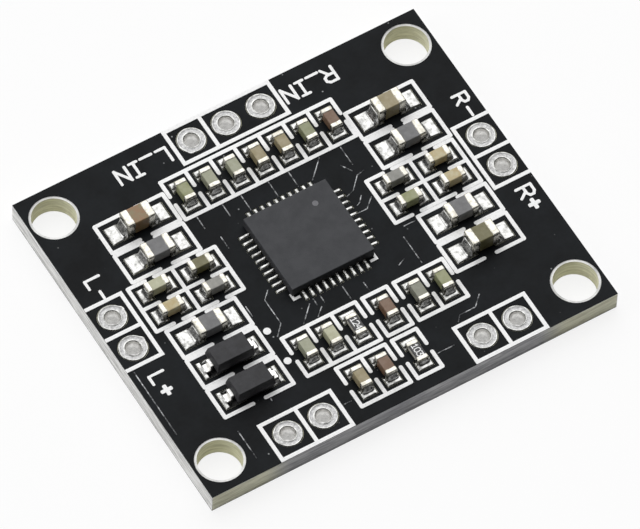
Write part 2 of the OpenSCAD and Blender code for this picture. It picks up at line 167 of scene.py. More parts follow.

# %% [markdown]
# ## Black solder mask
# Solder mask is a thin epoxy lacquer, screened on wet and cured. It flows a little before it sets, so it
# is smooth and slightly wavy, with a weak shine. It is not pure black: a cool grey shows where light
# grazes it, and a few specks of dust lie on it: each cell of a Voronoi pattern holds one near its
# middle, and a random share says how clearly it shows. A second, paler lacquer lies over the buried
# copper, which lightens it a little. Its near-white blotches are painted highlights, standing in for the
# glints along the sides of each ridge.

# %% Make the solder mask
SPECK_MM, SPECK_APART_MM = 0.07, 1.1
mask, tree, shader, place = start("black solder mask lacquer", Specular_IOR_Level=0.08)
lacquer = vary(tree, shader, place, ("#0f1113", "#181b1e"), 2.6, (0.42, 0.52), 0.22, 0.004)
cells = add(tree, "ShaderNodeTexVoronoi", None, {"Vector": place, "Scale": grain(SPECK_APART_MM)})
near = add(tree, "ShaderNodeMapRange", None,
           {"Value": cells.outputs["Distance"], "From Min": SPECK_MM / SPECK_APART_MM, "From Max": 0})
share = add(tree, "ShaderNodeSeparateColor", None, {"Color": cells.outputs["Color"]}).outputs["Red"]
speck = add(tree, "ShaderNodeMath", {"operation": "MULTIPLY"},
            {0: near.outputs["Result"], 1: share}).outputs[0]
dusty = add(tree, "ShaderNodeMix", {"data_type": "RGBA"},
            {"Factor": speck, 6: lacquer.outputs[2], 7: linear("#c8cacb")}).outputs[2]
tree.links.new(dusty, shader.inputs["Base Color"])

# Painted highlight: the near-white tone of this lacquer stands in for glints along the trace ridges.
copper_mask_and_glints, tree, shader, place = start("solder mask over copper with painted glints", Specular_IOR_Level=0.4)
vary(tree, shader, place, ("#3a3c3f", "#d2d4d6"), 0.3, (0.3, 0.45), 0.1, 0.003, (0.4, 0.6))
print("materials", mask.name, "and", copper_mask_and_glints.name)

# %% [markdown]
# ## White legend ink
# The frames and letters are a matt white epoxy ink, pressed through a mesh. The mesh leaves the ink a
# little uneven, so the white is broken by faint grey specks about a mesh opening wide, 0.1 mm.

# %% Make the ink
ink, tree, shader, place = start("white screen-printed ink", Specular_IOR_Level=0.3)
vary(tree, shader, place, ("#ffffff", "#e6e8e7"), 0.16, (0.6, 0.8), 0.1, 0.006, (0.5, 0.8))
print("material", ink.name)

# %% [markdown]
# ## Glass-epoxy laminate
# The board's core is woven glass in epoxy resin, cut by a saw or a router. The cut shows the layers of
# cloth as streaks along the edge, pale where glass is cut and olive where resin lies. The long edges turn
# grey towards their middle. The short edges are paler, and that paler tone is painted light from the lamp
# at the left. The bare rims that the mask leaves round the four mounting holes share that pale tone.
# Painting each edge as its own piece would cut the board up. One material does it all: it reads the place
# on the board, and a noise that is stretched along the board gives the streaks, thin in Z and long in X and
# Y.

# %% Make the laminate
LAYER_MM, STREAK_MM, STREAK_DEEP_MM = 0.17, 1.9, 0.02
SKIN, TOP_SKIN = 0.03 * MM, 0.02 * MM
EDGE_X, EDGE_Y = cad_high.x - SKIN, cad_high.y - SKIN
RIM_X, RIM_Y, RIM_Z = 11.2 * MM, 8.2 * MM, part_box("board_laminate")[1].z - TOP_SKIN
# Between these distances from the middle, the long edges turn grey.
GREY_END, GREY_FULL = 11.2 * MM, 8.8 * MM
laminate, tree, shader, place = start("sawn glass-epoxy laminate", Specular_IOR_Level=0.3, Roughness=0.75)
stretch = add(tree, "ShaderNodeMapping", None,
              {"Vector": place, "Scale": (grain(STREAK_MM), grain(STREAK_MM), grain(LAYER_MM))})
streaks = add(tree, "ShaderNodeTexNoise", None,
              {"Vector": stretch.outputs["Vector"], "Scale": 1, "Detail": 5, "Roughness": 0.65})
streak = add(tree, "ShaderNodeMapRange", None,
             {"Value": streaks.outputs["Fac"], "From Min": 0.4, "From Max": 0.62}).outputs["Result"]
# Three tones: the core's streaks, a pale tone that is painted light on the short edges, and the grey of the
# long edges' middle.
core, pale, grey = [
    add(tree, "ShaderNodeMix", {"data_type": "RGBA"},
        {"Factor": streak, 6: linear(glass), 7: linear(resin)}).outputs[2]
    for glass, resin in (("#f1f0d8", "#ceccb2"), ("#f8f8f6", "#c6c6c4"), ("#cacacb", "#98989c"))]
print("streaks", LAYER_MM, "mm thick in three tones")

# %% Say where each tone of the laminate lies
axes = add(tree, "ShaderNodeSeparateXYZ", None, {"Vector": place})
side_x, side_y = [
    add(tree, "ShaderNodeMath", {"operation": "ABSOLUTE"}, {0: axes.outputs[axis]}).outputs[0]
    for axis in ("X", "Y")]
on_short, on_long, on_top, past_x, past_y = [
    add(tree, "ShaderNodeMath", {"operation": "GREATER_THAN"}, {0: value, 1: limit}).outputs[0]
    for value, limit in ((side_x, EDGE_X), (side_y, EDGE_Y), (axes.outputs["Z"], RIM_Z),
                         (side_x, RIM_X), (side_y, RIM_Y))]
in_corner = add(tree, "ShaderNodeMath", {"operation": "MULTIPLY"}, {0: past_x, 1: past_y}).outputs[0]
on_rim = add(tree, "ShaderNodeMath", {"operation": "MULTIPLY"}, {0: on_top, 1: in_corner}).outputs[0]
# Painted light: the short edges take the pale tone as light from the lamp at the left; the bare rims round
# the mounting holes share it.
lit_short_edges_and_rims = add(tree, "ShaderNodeMath", {"operation": "MAXIMUM"}, {0: on_short, 1: on_rim}).outputs[0]
near_middle = add(tree, "ShaderNodeMapRange", {"interpolation_type": "SMOOTHSTEP"},
                  {"Value": side_x, "From Min": GREY_END, "From Max": GREY_FULL}).outputs["Result"]
greyed = add(tree, "ShaderNodeMath", {"operation": "MULTIPLY"}, {0: on_long, 1: near_middle}).outputs[0]
with_short = add(tree, "ShaderNodeMix", {"data_type": "RGBA"},
                 {"Factor": lit_short_edges_and_rims, 6: core, 7: pale}).outputs[2]
with_long = add(tree, "ShaderNodeMix", {"data_type": "RGBA"},
                {"Factor": greyed, 6: with_short, 7: grey}).outputs[2]
tree.links.new(with_long, shader.inputs["Base Color"])
relief = add(tree, "ShaderNodeBump", None,
             {"Height": streaks.outputs["Fac"], "Distance": STREAK_DEEP_MM * MM})
tree.links.new(relief.outputs["Normal"], shader.inputs["Normal"])
print("material", laminate.name)

# %% [markdown]
# ## Tin in three states
# Solder that froze on a pad is bright and wavy. The plated ends of the chip parts are dull and grainy,
# because they were plated and then baked. The rings of the wire holes were dipped and blown level, which
# leaves a rough light grey. All three are tin, so their greys are close, and it is mostly roughness and
# relief that tell them apart. The grain is drawn a little coarser than the real crystals, so that it shows
# at this size. The diodes' leads keep a brighter tin. The barrels of the wire holes get the same brighter
# tin as painted light, which lifts their walls where they lie in shade inside the hole. The chip's leads
# end at its sides, where they were sawn from their frame, so their ends are dull and dark.

# %% Make the metals
solder, tree, shader, place = start("bright tin solder", Metallic=1.0)
vary(tree, shader, place, ("#c2c2c0", "#7e7e7c"), 0.34, (0.16, 0.32), 0.16, 0.0015, (0.42, 0.68))

tin_plate, tree, shader, place = start("baked tin plate", Metallic=1.0)
vary(tree, shader, place, ("#cccac1", "#a29f95"), 0.26, (0.2, 0.34), 0.1, 0.001, (0.4, 0.66))

levelled_tin, tree, shader, place = start("hot-air levelled tin", Metallic=1.0)
vary(tree, shader, place, ("#c2c2c2", "#949494"), 0.16, (0.42, 0.6), 0.1, 0.02)

# Painted light: in the barrels of the wire holes this brighter tin lifts a wall that lies in shade.
lead_tin_and_lit_barrel, tree, shader, place = start("tinned lead frame and lit barrel", Metallic=1.0)
vary(tree, shader, place, ("#f0efec", "#cfcecb"), 0.2, (0.25, 0.4), 0.08, 0.006)
sawn_lead, tree, shader, place = start("sawn lead end", Metallic=1.0)
vary(tree, shader, place, ("#77726a", "#57534d"), 0.1, (0.5, 0.65), 0.06, 0.006)
print("materials", solder.name, tin_plate.name, levelled_tin.name, lead_tin_and_lit_barrel.name, sawn_lead.name, sep=", ")

# %% [markdown]
# ## Moulded epoxy
# The chip and the diodes are moulded in epoxy filled with ground silica. The mould was spark-eroded, so
# the surface is a fine even matt, dark grey rather than black. The silica shows as a grain of about
# 0.05 mm, drawn here at 0.07 mm.

# %% Make the moulded bodies
chip_mould, tree, shader, place = start("silica-filled chip epoxy", Specular_IOR_Level=0.2)
vary(tree, shader, place, ("#3c3d40", "#444548"), 0.9, (0.5, 0.66), 0.07, 0.006)

diode_mould, tree, shader, place = start("silica-filled diode epoxy", Specular_IOR_Level=0.25)
vary(tree, shader, place, ("#2c2c2e", "#37373a"), 0.6, (0.42, 0.58), 0.07, 0.006)

laser_mark, tree, shader, place = start("laser-bleached epoxy", Specular_IOR_Level=0.25)
vary(tree, shader, place, ("#6e6e72", "#7c7c80"), 0.1, (0.65, 0.8), 0.05, 0.004)
print("materials", chip_mould.name, diode_mould.name, laser_mark.name, sep=", ")

# %% [markdown]
# ## Fired ceramic
# Each capacitor is a block of fired ceramic. Makers use different mixes for different values, which is why
# the row runs from olive through buff to red-brown. The block is tumbled after firing, so it is satin,
# with a faint cloud in the colour and a fine pitting. The beads are grey ferrite, fired the same way.

# %% Make the ceramics
CERAMICS = {
    "olive": ("#858865", "#939678"),
    "pale_olive": ("#979981", "#a6a792"),
    "dull_olive": ("#838474", "#909082"),
    "green": ("#888c61", "#9a9c7a"),
    "buff": ("#918562", "#a2977b"),
    "orange_buff": ("#b8a578", "#c2b896"),
    "khaki": ("#67623f", "#757150"),
    "rust": ("#916c4b", "#867a5a"),
    "brown": ("#71553f", "#7d6553"),
    "grey": ("#868580", "#989791"),
    "cream": ("#aead8e", "#bebea4"),
}
ceramic = {}
for name, tones in CERAMICS.items():
    ceramic[name], tree, shader, place = start("fired ceramic " + name, Specular_IOR_Level=0.45)
    vary(tree, shader, place, tones, 0.45, (0.34, 0.5), 0.08, 0.006)

ferrite, tree, shader, place = start("fired grey ferrite", Specular_IOR_Level=0.35)
vary(tree, shader, place, ("#707071", "#7f7f80"), 0.4, (0.5, 0.65), 0.06, 0.006)
print(len(ceramic), "ceramics and", ferrite.name)

# %% [markdown]
# ## Glazed resistor
# A chip resistor is a white alumina tile with a black glaze over its top. One material can hold both: the
# height in the piece says where the glaze ends. That keeps the solid whole and still shows the white sides.

# %% Make the resistor's glaze
GLAZE_MM = 0.05
resistor_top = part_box("control_resistor_1")[1].z
glaze, tree, shader, place = start("black glaze on alumina", Specular_IOR_Level=0.5)
tile = vary(tree, shader, place, ("#222224", "#2c2c2e"), 0.3, (0.25, 0.4), 0.08, 0.003)
height = add(tree, "ShaderNodeSeparateXYZ", None, {"Vector": place}).outputs["Z"]
is_top = add(tree, "ShaderNodeMath", {"operation": "GREATER_THAN"},
             {0: height, 1: resistor_top - GLAZE_MM * MM}).outputs[0]
both = add(tree, "ShaderNodeMix", {"data_type": "RGBA"},
           {"Factor": is_top, 6: linear("#d9d6cc"), 7: tile.outputs[2]}).outputs[2]
tree.links.new(both, shader.inputs["Base Color"])
print("material", glaze.name)

# %% [markdown]
# ## Finishing the solid pieces
# A piece whose shape is already right keeps its solid and gets a material. Real edges are never quite
# sharp, and an edge shows only if it catches the light, so the small parts also get a narrow Bevel. The
# solids come as loose triangles, so a Weld joins them first: a bevel needs to know which faces meet.

# %% Dress the solid pieces
WELD_DISTANCE = 0.0005 * MM
SHARP_ANGLE = math.radians(50)


def dress(name, material, edge_mm=0, steps=2):
    """Give a solid piece its material and, if asked, rounded edges."""
    piece = nodes[name]
    if not piece.material_slots:
        piece.data.materials.append(material)
    for material_slot in piece.material_slots:
        material_slot.material = material
    if edge_mm:
        weld = piece.modifiers.new("weld", "WELD")
        weld.merge_threshold = WELD_DISTANCE
        bevel = piece.modifiers.new("bevel", "BEVEL")
        bevel.width = edge_mm * MM
        bevel.segments = steps
        bevel.limit_method = "ANGLE"
        bevel.angle_limit = SHARP_ANGLE


dress("board_laminate", laminate)
dress("top_solder_mask", mask)
dress("bottom_solder_mask", mask)
dress("printed_legend", ink)
dress("amplifier_chip", chip_mould, 0.05)
dress("chip_leads", sawn_lead)
dress("chip_heat_pad", lead_tin_and_lit_barrel)
dress("diode_leads", lead_tin_and_lit_barrel, 0.03)
DIODES = ("rear_diode", "front_diode")
for name in DIODES:
    dress(name, diode_mould, 0.04)
print("board, chip and", len(DIODES), "diodes dressed")

# %% Dress the ceramic parts
CAPACITOR_FINISH = {
    "input_capacitor_1": "green", "input_capacitor_2": "pale_olive", "input_capacitor_3": "pale_olive",
    "input_capacitor_4": "buff", "input_capacitor_5": "buff", "input_capacitor_6": "olive",
    "input_capacitor_7": "brown", "left_rear_capacitor": "rust", "left_small_capacitor_1": "cream",
    "left_small_capacitor_2": "khaki", "left_small_capacitor_3": "orange_buff",
    "left_small_capacitor_4": "grey", "right_rear_capacitor": "buff", "right_small_capacitor_1": "grey",
    "right_small_capacitor_2": "orange_buff", "right_small_capacitor_3": "green",
    "right_small_capacitor_4": "orange_buff", "right_front_capacitor": "khaki",
    "control_capacitor_1": "pale_olive", "control_capacitor_2": "cream", "control_capacitor_3": "brown",
    "control_capacitor_4": "dull_olive", "control_capacitor_5": "green", "control_capacitor_6": "buff",
    "control_capacitor_7": "brown"}
for name, tone in CAPACITOR_FINISH.items():
    dress(name, ceramic[tone])
BEADS = ("left_rear_bead", "left_front_bead", "right_rear_bead", "right_front_bead")
for name in BEADS:
    dress(name, ferrite)
RESISTORS = ("control_resistor_1", "control_resistor_2")
for name in RESISTORS:
    dress(name, glaze)
print(len(CAPACITOR_FINISH), "capacitors,", len(BEADS), "beads,", len(RESISTORS), "resistors")

# %% [markdown]
# ## Solder joints
# Liquid solder wets the pad and climbs the metal end, so a joint is a low dome over the pad that sweeps up
# in a hollow curve where it meets the part. A box can't show that, because the sweep is what catches the
# light. Each joint here starts as a grid over its pad. The grid's points rise by five rules: the rim is
# rounded, the pad slopes gently away from the part, the middle is slightly full, a short sweep climbs
# the part, and the last of the solder to freeze stands in small waves near the outer rim. The gentle slope
# mirrors the light above, and the sweep mirrors the dark front of the room. The border is then extruded
# down to the laminate, which closes the joint.

# %% Rules for a joint's height
LAMINATE_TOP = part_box("board_laminate")[1].z / MM
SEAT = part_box("chip_leads")[0].z / MM
TIN = SEAT - LAMINATE_TOP
RIM, NARROW_RIM, RIM_LOW = 0.1, 0.45, 0.03
SLOPE, FULL, RIPPLE, RIPPLES = 0.07, 0.02, 0.005, 5
CURB, CURB_IN, CURB_WIDE, CURB_WAVES = 0.014, 0.2, 0.1, 7
LONG_PAD = 1.1
SWEEP_IN, SWEEP_OUT = 0.12, 0.06


def smooth_step(low, high, value):
    """0 below low, 1 above high, and a smooth rise between."""
    t = min(max((value - low) / (high - low), 0), 1)
    return t * t * (3 - 2 * t)


def rounded(distance, width):
    """How full the tin is at this distance from the pad's border, where the rim is this wide."""
    t = 1 - min(max(distance / width, 0), 1)
    return math.sqrt(1 - t * t)


def joint_height(along, across, pad, part, seed):
    """Height of the solder above the laminate, in millimetres, at a point of a pad."""
    inner, outer, half = pad
    end, half_width, climb, foot = part
    rim = rounded(min(outer - along, half - abs(across), along - inner), min(RIM, NARROW_RIM * half))
    height = RIM_LOW + (TIN - RIM_LOW) * rim
    if along > end:
        outside = along - end
        height += SLOPE * (outer - along) * rim
        height += FULL * math.sin(math.pi * outside / (outer - end)) * (1 - (across / half) ** 2)
        beside = 1 - smooth_step(half_width - SWEEP_IN, half_width + SWEEP_OUT, abs(across))
        height += climb * max(1 - outside / foot, 0) ** 2 * beside
        ripple = noise.noise(Vector((along * RIPPLES + seed, across * RIPPLES, seed * 1.7)))
        height += RIPPLE * ripple * rim
        curb = math.exp(-((outer - along - CURB_IN) / CURB_WIDE) ** 2) * min((outer - end) / LONG_PAD, 1)
        wave = noise.noise(Vector((along * CURB_WAVES, across * CURB_WAVES, seed * 2.3)))
        height += CURB * curb * wave * rim
    return height


print("pads", round(TIN, 3), "mm thick on a laminate whose top is at", round(LAMINATE_TOP, 3), "mm")

# %% Make one joint
PAD_GRID = (22, 18)
UNDER = 3
FACE_IN, FACE_OUT, CROWDING = 0.004, 0.002, 1.1


def add_joint(bm, centre, turn, pad, part, seed, grid_size=PAD_GRID):
    """Add one joint to the bmesh: a grid over the pad, raised by the rules and closed below."""
    inner, outer, half = pad
    end = part[0]
    columns, rows = grid_size
    grid = bmesh.ops.create_grid(bm, x_segments=columns, y_segments=rows, size=0.5)["verts"]
    turned = Matrix.Rotation(turn, 3, "Z")
    for vert in grid:
        column = round((vert.co.x + 0.5) * columns)
        if column < UNDER:
            along = inner + (end - FACE_IN - inner) * column / (UNDER - 1)
        else:
            share = ((column - UNDER) / (columns - UNDER)) ** CROWDING
            along = end + FACE_OUT + (outer - end - FACE_OUT) * share
        across = math.sin(math.pi * vert.co.y) * half
        height = joint_height(along, across, pad, part, seed)
        spot = turned @ Vector((along, across, 0))
        vert.co = Vector((centre.x / MM + spot.x, centre.y / MM + spot.y, LAMINATE_TOP + height)) * MM
    border = dict.fromkeys(edge for vert in grid for edge in vert.link_edges if edge.is_boundary)
    skirt = bmesh.ops.extrude_edge_only(bm, edges=list(border))["geom"]
    for vert in (item for item in skirt if isinstance(item, bmesh.types.BMVert)):
        vert.co.z = LAMINATE_TOP * MM
    low_edges = [item for item in skirt if isinstance(item, bmesh.types.BMEdge) and item.is_boundary]
    bmesh.ops.holes_fill(bm, edges=low_edges, sides=0)


print("a joint has", math.prod(PAD_GRID), "faces on top")

# %% Turn a shape into a piece
def finish_piece(bm, name, materials, replaced=(), smooth=True):
    """Turn a bmesh into a piece of the object, on the board."""
    bmesh.ops.recalc_face_normals(bm, faces=bm.faces)
    for face in bm.faces:
        face.smooth = smooth
    mesh = bpy.data.meshes.new(name)
    bm.to_mesh(mesh)
    bm.free()
    for material in materials:
        mesh.materials.append(material)
    piece = bpy.data.objects.new(name, mesh)
    bpy.context.scene.collection.objects.link(piece)
    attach(piece, "root")
    if replaced:
        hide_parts(*replaced)
    return piece


print("each new piece rides on the board")

# %% [markdown]
# ## Which part has which pads
# The two sizes of chip part have their own pads. The part's solid says where it lies and which way it
# points, because its box is longer one way than the other. So each joint is placed by its part, and the
# joints of a group become one piece that stands for the group's plain solder. A pad is written as where it
# begins and ends along the part, and half its width. An end is written as its distance from the middle,
# half its width, and how far out the solder sweeps. A diode's lead is low, so its climb is given too.

# %% Solder every chip part
SMALL_PAD = (0.43, 1.21, 0.525)
LARGE_PAD = (0.65, 2.1, 0.665)
SMALL_END = (0.8, 0.34, 0.2)
LARGE_END = (1.0, 0.55, 0.42)
DIODE_LEAD = (1.85, 0.3, 0.1, 0.2)
LARGE_FROM, END_PLATES, CLIMB = 1.7, 0.06, 0.62
PART_SEED, SIDE_SEED = 3.7, 1.3


def joint_of(name, size):
    """The pad of a part, and the end face that its solder climbs."""
    if "diode" in name:
        return LARGE_PAD, DIODE_LEAD
    large = max(size.x, size.y) > LARGE_FROM * MM
    end, half_width, foot = LARGE_END if large else SMALL_END
    climb = CLIMB * (size.z / MM + END_PLATES)
    return LARGE_PAD if large else SMALL_PAD, (end, half_width, climb, foot)


SOLDER_GROUPS = {
    "input": ["input_capacitor_"],
    "left": ["left_rear_", "left_small_", "left_front_", "rear_diode", "front_diode"],
    "right": ["right_rear_", "right_small_", "right_front_"],
    "control": ["control_capacitor_", "control_resistor_"]}
CHIP_PARTS = [*CAPACITOR_FINISH, *BEADS, *RESISTORS, *DIODES]
for group, starts in SOLDER_GROUPS.items():
    bm = bmesh.new()
    members = [name for name in CHIP_PARTS if name.startswith(tuple(starts))]
    for index, name in enumerate(members):
        low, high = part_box(name)
        size, centre = high - low, (low + high) / 2
        lies = 0 if size.x > size.y else math.pi / 2
        pad, part = joint_of(name, size)
        for side in (0, 1):
            seed = PART_SEED * index + SIDE_SEED * side
            add_joint(bm, centre, lies + side * math.pi, pad, part, seed)
    piece = finish_piece(bm, group + "_solder_joints", [solder], [group + "_solder"])
    print(piece.name, "holds", len(members), "parts with", len(piece.data.polygons), "faces")

# %% [markdown]
# ## Drops at the chip's leads
# The chip's forty leads end flush with its sides, and each one has its own narrow pad. The solder there is
# a small drop, rounded across and low at its tip. It is the same joint as before on a smaller pad, turned
# to each side of the chip in turn. A plate of solder under the chip carries off its heat.

# %% Solder the chip
chip_low, chip_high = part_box("amplifier_chip")
chip_centre = (chip_low + chip_high) / 2
LEAD_COUNT, LEAD_PITCH = 10, 0.5
LEAD_PAD = (-0.4, 0.7, 0.11)
LEAD_PART = (0, 0.1, 0.12, 0.2)
LEAD_GRID = (14, 10)
LEAD_SEED, ROW_SEED = 2.9, 31
bm = bmesh.new()
for side in range(4):
    turn = side * math.pi / 2
    turned = Matrix.Rotation(turn, 3, "Z")
    for index in range(LEAD_COUNT):
        along_side = (index - (LEAD_COUNT - 1) / 2) * LEAD_PITCH * MM
        lead = chip_centre + turned @ Vector(((chip_high.x - chip_low.x) / 2, along_side, 0))
        add_joint(bm, lead, turn, LEAD_PAD, LEAD_PART, LEAD_SEED * index + ROW_SEED * side, LEAD_GRID)
heat_low, heat_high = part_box("chip_heat_pad")
plate = bmesh.ops.create_cube(bm, size=1)["verts"]
bmesh.ops.scale(bm, verts=plate, vec=(heat_high.x - heat_low.x, heat_high.y - heat_low.y, TIN * MM))
bmesh.ops.translate(bm, verts=plate, vec=(chip_centre.x, chip_centre.y, (LAMINATE_TOP + TIN / 2) * MM))
drops = finish_piece(bm, "chip_solder_joints", [solder], ["chip_solder"])
print(drops.name, "at", 4 * LEAD_COUNT, "leads,", len(drops.data.polygons), "faces")

# %% [markdown]
# ## Dipped metal ends
# The ends of a chip part are dipped in metal paste, fired and plated. The paste pulls back from the edges
# and leaves the end full in the middle, with soft corners and an uneven line on the ceramic. So each end
# starts as a cube cut into a grid. Its points are drawn close to the edges, then pushed onto a box with
# round edges, and last lowered a little by a noise.

# %% Make one dipped end
END_CUTS, END_ROUND = 10, 0.1
END_UNEVEN, END_WAVES, LINE_UNEVEN, LINE_WAVES = 0.003, 4.5, 0.03, 3.5

grid_cube = bpy.data.meshes.new("cube cut into a grid")
bm = bmesh.new()
bmesh.ops.create_cube(bm, size=2)
bmesh.ops.subdivide_edges(bm, edges=bm.edges[:], cuts=END_CUTS, use_grid_fill=True)
bm.to_mesh(grid_cube)
bm.free()


def add_end(bm, centre, turn, low, high, seed):
    """Add a metal end: low and high are its box in the part's own directions, in millimetres."""
    first = len(bm.verts)
    bm.from_mesh(grid_cube)
    bm.verts.ensure_lookup_table()
    half, middle = (high - low) / 2, (low + high) / 2
    turned = Matrix.Rotation(turn, 3, "Z")
    for vert in bm.verts[first:]:
        spot = Vector(math.sin(c * math.pi / 2) * h for c, h in zip(vert.co, half))
        inside = Vector(min(max(s, END_ROUND - h), h - END_ROUND) for s, h in zip(spot, half))
        out = (spot - inside).normalized()
        wave = noise.noise(Vector((seed, 0, 0)) + spot * END_WAVES)
        round_spot = inside + out * (END_ROUND - END_UNEVEN * (1 + wave) / 2)
        on_line = smooth_step(0, 1, -round_spot.x / half.x)
        line_wave = noise.noise(Vector((seed * 1.9, 0, 0)) + spot * LINE_WAVES)
        round_spot.x += LINE_UNEVEN * on_line * line_wave
        vert.co = (turned @ (middle + round_spot)) * MM + centre


print("a metal end has", len(grid_cube.polygons), "faces")

# %% Dip the ends of every part
END_T = 0.03
SMALL_METAL, LARGE_METAL, BEAD_METAL = 0.38, 0.55, 0.5
LARGE_HALF = 0.9
END_SEED, FAR_SEED = 5.3, 2.1
END_GROUPS = {
    "input": "input_capacitor_", "left_rear": "left_rear_", "left_grid": "left_small_",
    "left_front": "left_front_", "right_rear": "right_rear_", "right_grid": "right_small_",
    "right_front": "right_front_", "control": "control_"}
for group, begins in END_GROUPS.items():
    bm = bmesh.new()
    members = [name for name in CHIP_PARTS if name.startswith(begins)]
    for index, name in enumerate(members):
        low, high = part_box(name)
        size, centre = (high - low) / MM, (low + high) / 2
        lies = 0 if size.x > size.y else math.pi / 2
        length, width = max(size.x, size.y) / 2 + END_T, min(size.x, size.y) / 2 + END_T
        tall = size.z / 2 + END_T
        metal = BEAD_METAL if name in BEADS else LARGE_METAL if length > LARGE_HALF else SMALL_METAL
        for side in (0, 1):
            add_end(bm, centre, lies + side * math.pi, Vector((length - metal, -width, -tall)),
                    Vector((length, width, tall)), END_SEED * index + FAR_SEED * side)
    piece = finish_piece(bm, group + "_end_caps", [tin_plate], [group + "_metal_ends"])
    print(piece.name, "on", len(members), "parts,", len(piece.data.polygons), "faces")

# %% [markdown]
# ## Tinned wire holes
# A wire hole is plated through: a tinned ring on each side of the board and a barrel between them. Hot air
# blows the tin level, but it leaves a low bead along the ring's rim and another round the mouth of the
# hole. Those beads are the two bright lines that the eye sees. The section of the shape is drawn once, as
# a loop of points, and spun round the axis of each hole. A noise then moves the rim a little, and a few
# rings get the small tongue that a drop of tin leaves when the air blows it outwards.

# %% Draw the section of a wire hole
TERMINALS = {"input": 3, "left": 2, "right": 2, "front_left": 2, "front_right": 2}
HOLE_R, RING_R, BARREL_T, BEAD = 0.5, 0.95, 0.16, 0.03
BOARD_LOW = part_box("input_terminals")[0].z / MM
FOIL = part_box("bottom_solder_mask")[1].z / MM - BOARD_LOW
MOUTH_BEAD = [(0, -0.07), (0.02, -0.02), (0.05, 0), (0.08, -0.01), (0.12, -BEAD)]
RIM_BEAD = [(-0.14, -BEAD), (-0.1, -0.01), (-0.06, 0), (-0.02, -0.02), (0, -0.06)]
LOW_ROUND_OUT, LOW_ROUND_UP = 0.02, 0.01
SECTION = [
    (HOLE_R, BOARD_LOW), *[(HOLE_R + out, SEAT + up) for out, up in MOUTH_BEAD],
    *[(RING_R + out, SEAT + up) for out, up in RIM_BEAD],
    (RING_R, LAMINATE_TOP), (HOLE_R + BARREL_T, LAMINATE_TOP), (HOLE_R + BARREL_T, BOARD_LOW + FOIL),
    (RING_R, BOARD_LOW + FOIL), (RING_R, BOARD_LOW + LOW_ROUND_UP), (RING_R - LOW_ROUND_OUT, BOARD_LOW)]
print("a section of", len(SECTION), "points")

# %% Spin one wire ring
RING_STEPS = 56
MOUTH_WIDE, RIM_WIDE, HAIR = 0.1, 0.12, 0.01
RIM_UNEVEN, RIM_WAVES, TONGUE, TONGUE_TURN = 0.02, 2.5, 0.1, 0.2
TONGUES = {("left", 0): 20, ("left", 1): 20, ("input", 0): -121, ("front_right", 0): 145}


def add_ring(bm, centre, tongue, seed):
    """Spin the section round one hole's axis, and give each zone of the ring its material's number."""
    first_vert, first_face = len(bm.verts), len(bm.faces)
    loop = [bm.verts.new(Vector((centre.x + r * MM, centre.y, z * MM))) for r, z in SECTION]
    chain = [bm.edges.new((a, b)) for a, b in zip(loop, loop[1:] + loop[:1])]
    bmesh.ops.spin(bm, geom=loop + chain, cent=centre, axis=(0, 0, 1), angle=2 * math.pi,
                   steps=RING_STEPS, use_merge=True)
    bm.verts.ensure_lookup_table()
    bm.faces.ensure_lookup_table()
    for face in bm.faces[first_face:]:
        spot = face.calc_center_median() - centre
        radius, height = spot.xy.length / MM, spot.z / MM
        on_bead = height > LAMINATE_TOP and not HOLE_R + MOUTH_WIDE < radius < RING_R - RIM_WIDE
        # Zone 2, the barrel, takes the brighter tin: painted light on a wall that lies in shade.
        face.material_index = 1 if on_bead else 2 if radius < HOLE_R + HAIR else 0
    for vert in bm.verts[first_vert:]:
        spot = (vert.co - centre) / MM
        if spot.xy.length > RING_R - RIM_WIDE and spot.z > LAMINATE_TOP + HAIR:
            wave = noise.noise(Vector((spot.x * RIM_WAVES + seed, spot.y * RIM_WAVES, seed)))
            push = RIM_UNEVEN * wave
            if tongue is not None:
                angle = math.atan2(spot.y, spot.x)
                turn = (angle - math.radians(tongue) + math.pi) % (2 * math.pi) - math.pi
                push += TONGUE * math.exp(-(turn / TONGUE_TURN) ** 2)
            vert.co.xy += spot.xy.normalized() * push * MM


print("a wire ring has", len(SECTION) * RING_STEPS, "faces")

# %% Make the wire rings
RING_SEED, GROUP_SEED = 7.1, 3.3
for group, count in TERMINALS.items():
    low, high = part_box(group + "_terminals")
    size = high - low
    along = Vector((size.x, 0, 0)) if size.x > size.y else Vector((0, size.y, 0))
    middle = Vector(((low.x + high.x) / 2, (low.y + high.y) / 2, 0))
    reach = along * (1 - 2 * RING_R * MM / along.length)
    bm = bmesh.new()
    for index in range(count):
        centre = middle + reach * (index / (count - 1) - 0.5)
        seed = RING_SEED * index + GROUP_SEED * len(group)
        add_ring(bm, centre, TONGUES.get((group, index)), seed)
    piece = finish_piece(bm, group + "_wire_rings", [levelled_tin, solder, lead_tin_and_lit_barrel],
                         [group + "_terminals"])
    print(piece.name, "holds", count, "rings with", len(piece.data.polygons), "faces")

# %% [markdown]
# ## Printed letters
# The terminals are named by plain letters, drawn by the board's layout tool with one round pen. A font
# has the wrong look for that, so each letter is a few strokes. A stroke is a circle of the pen's width,
# half of it moved to the stroke's end, then raised to the ink's thickness. Strokes that cross are joined
# by a Boolean, so that the ink is one clean skin. The letters are a little thinner than the frames: where
# a stroke runs into a frame, two faces in one plane would flicker.

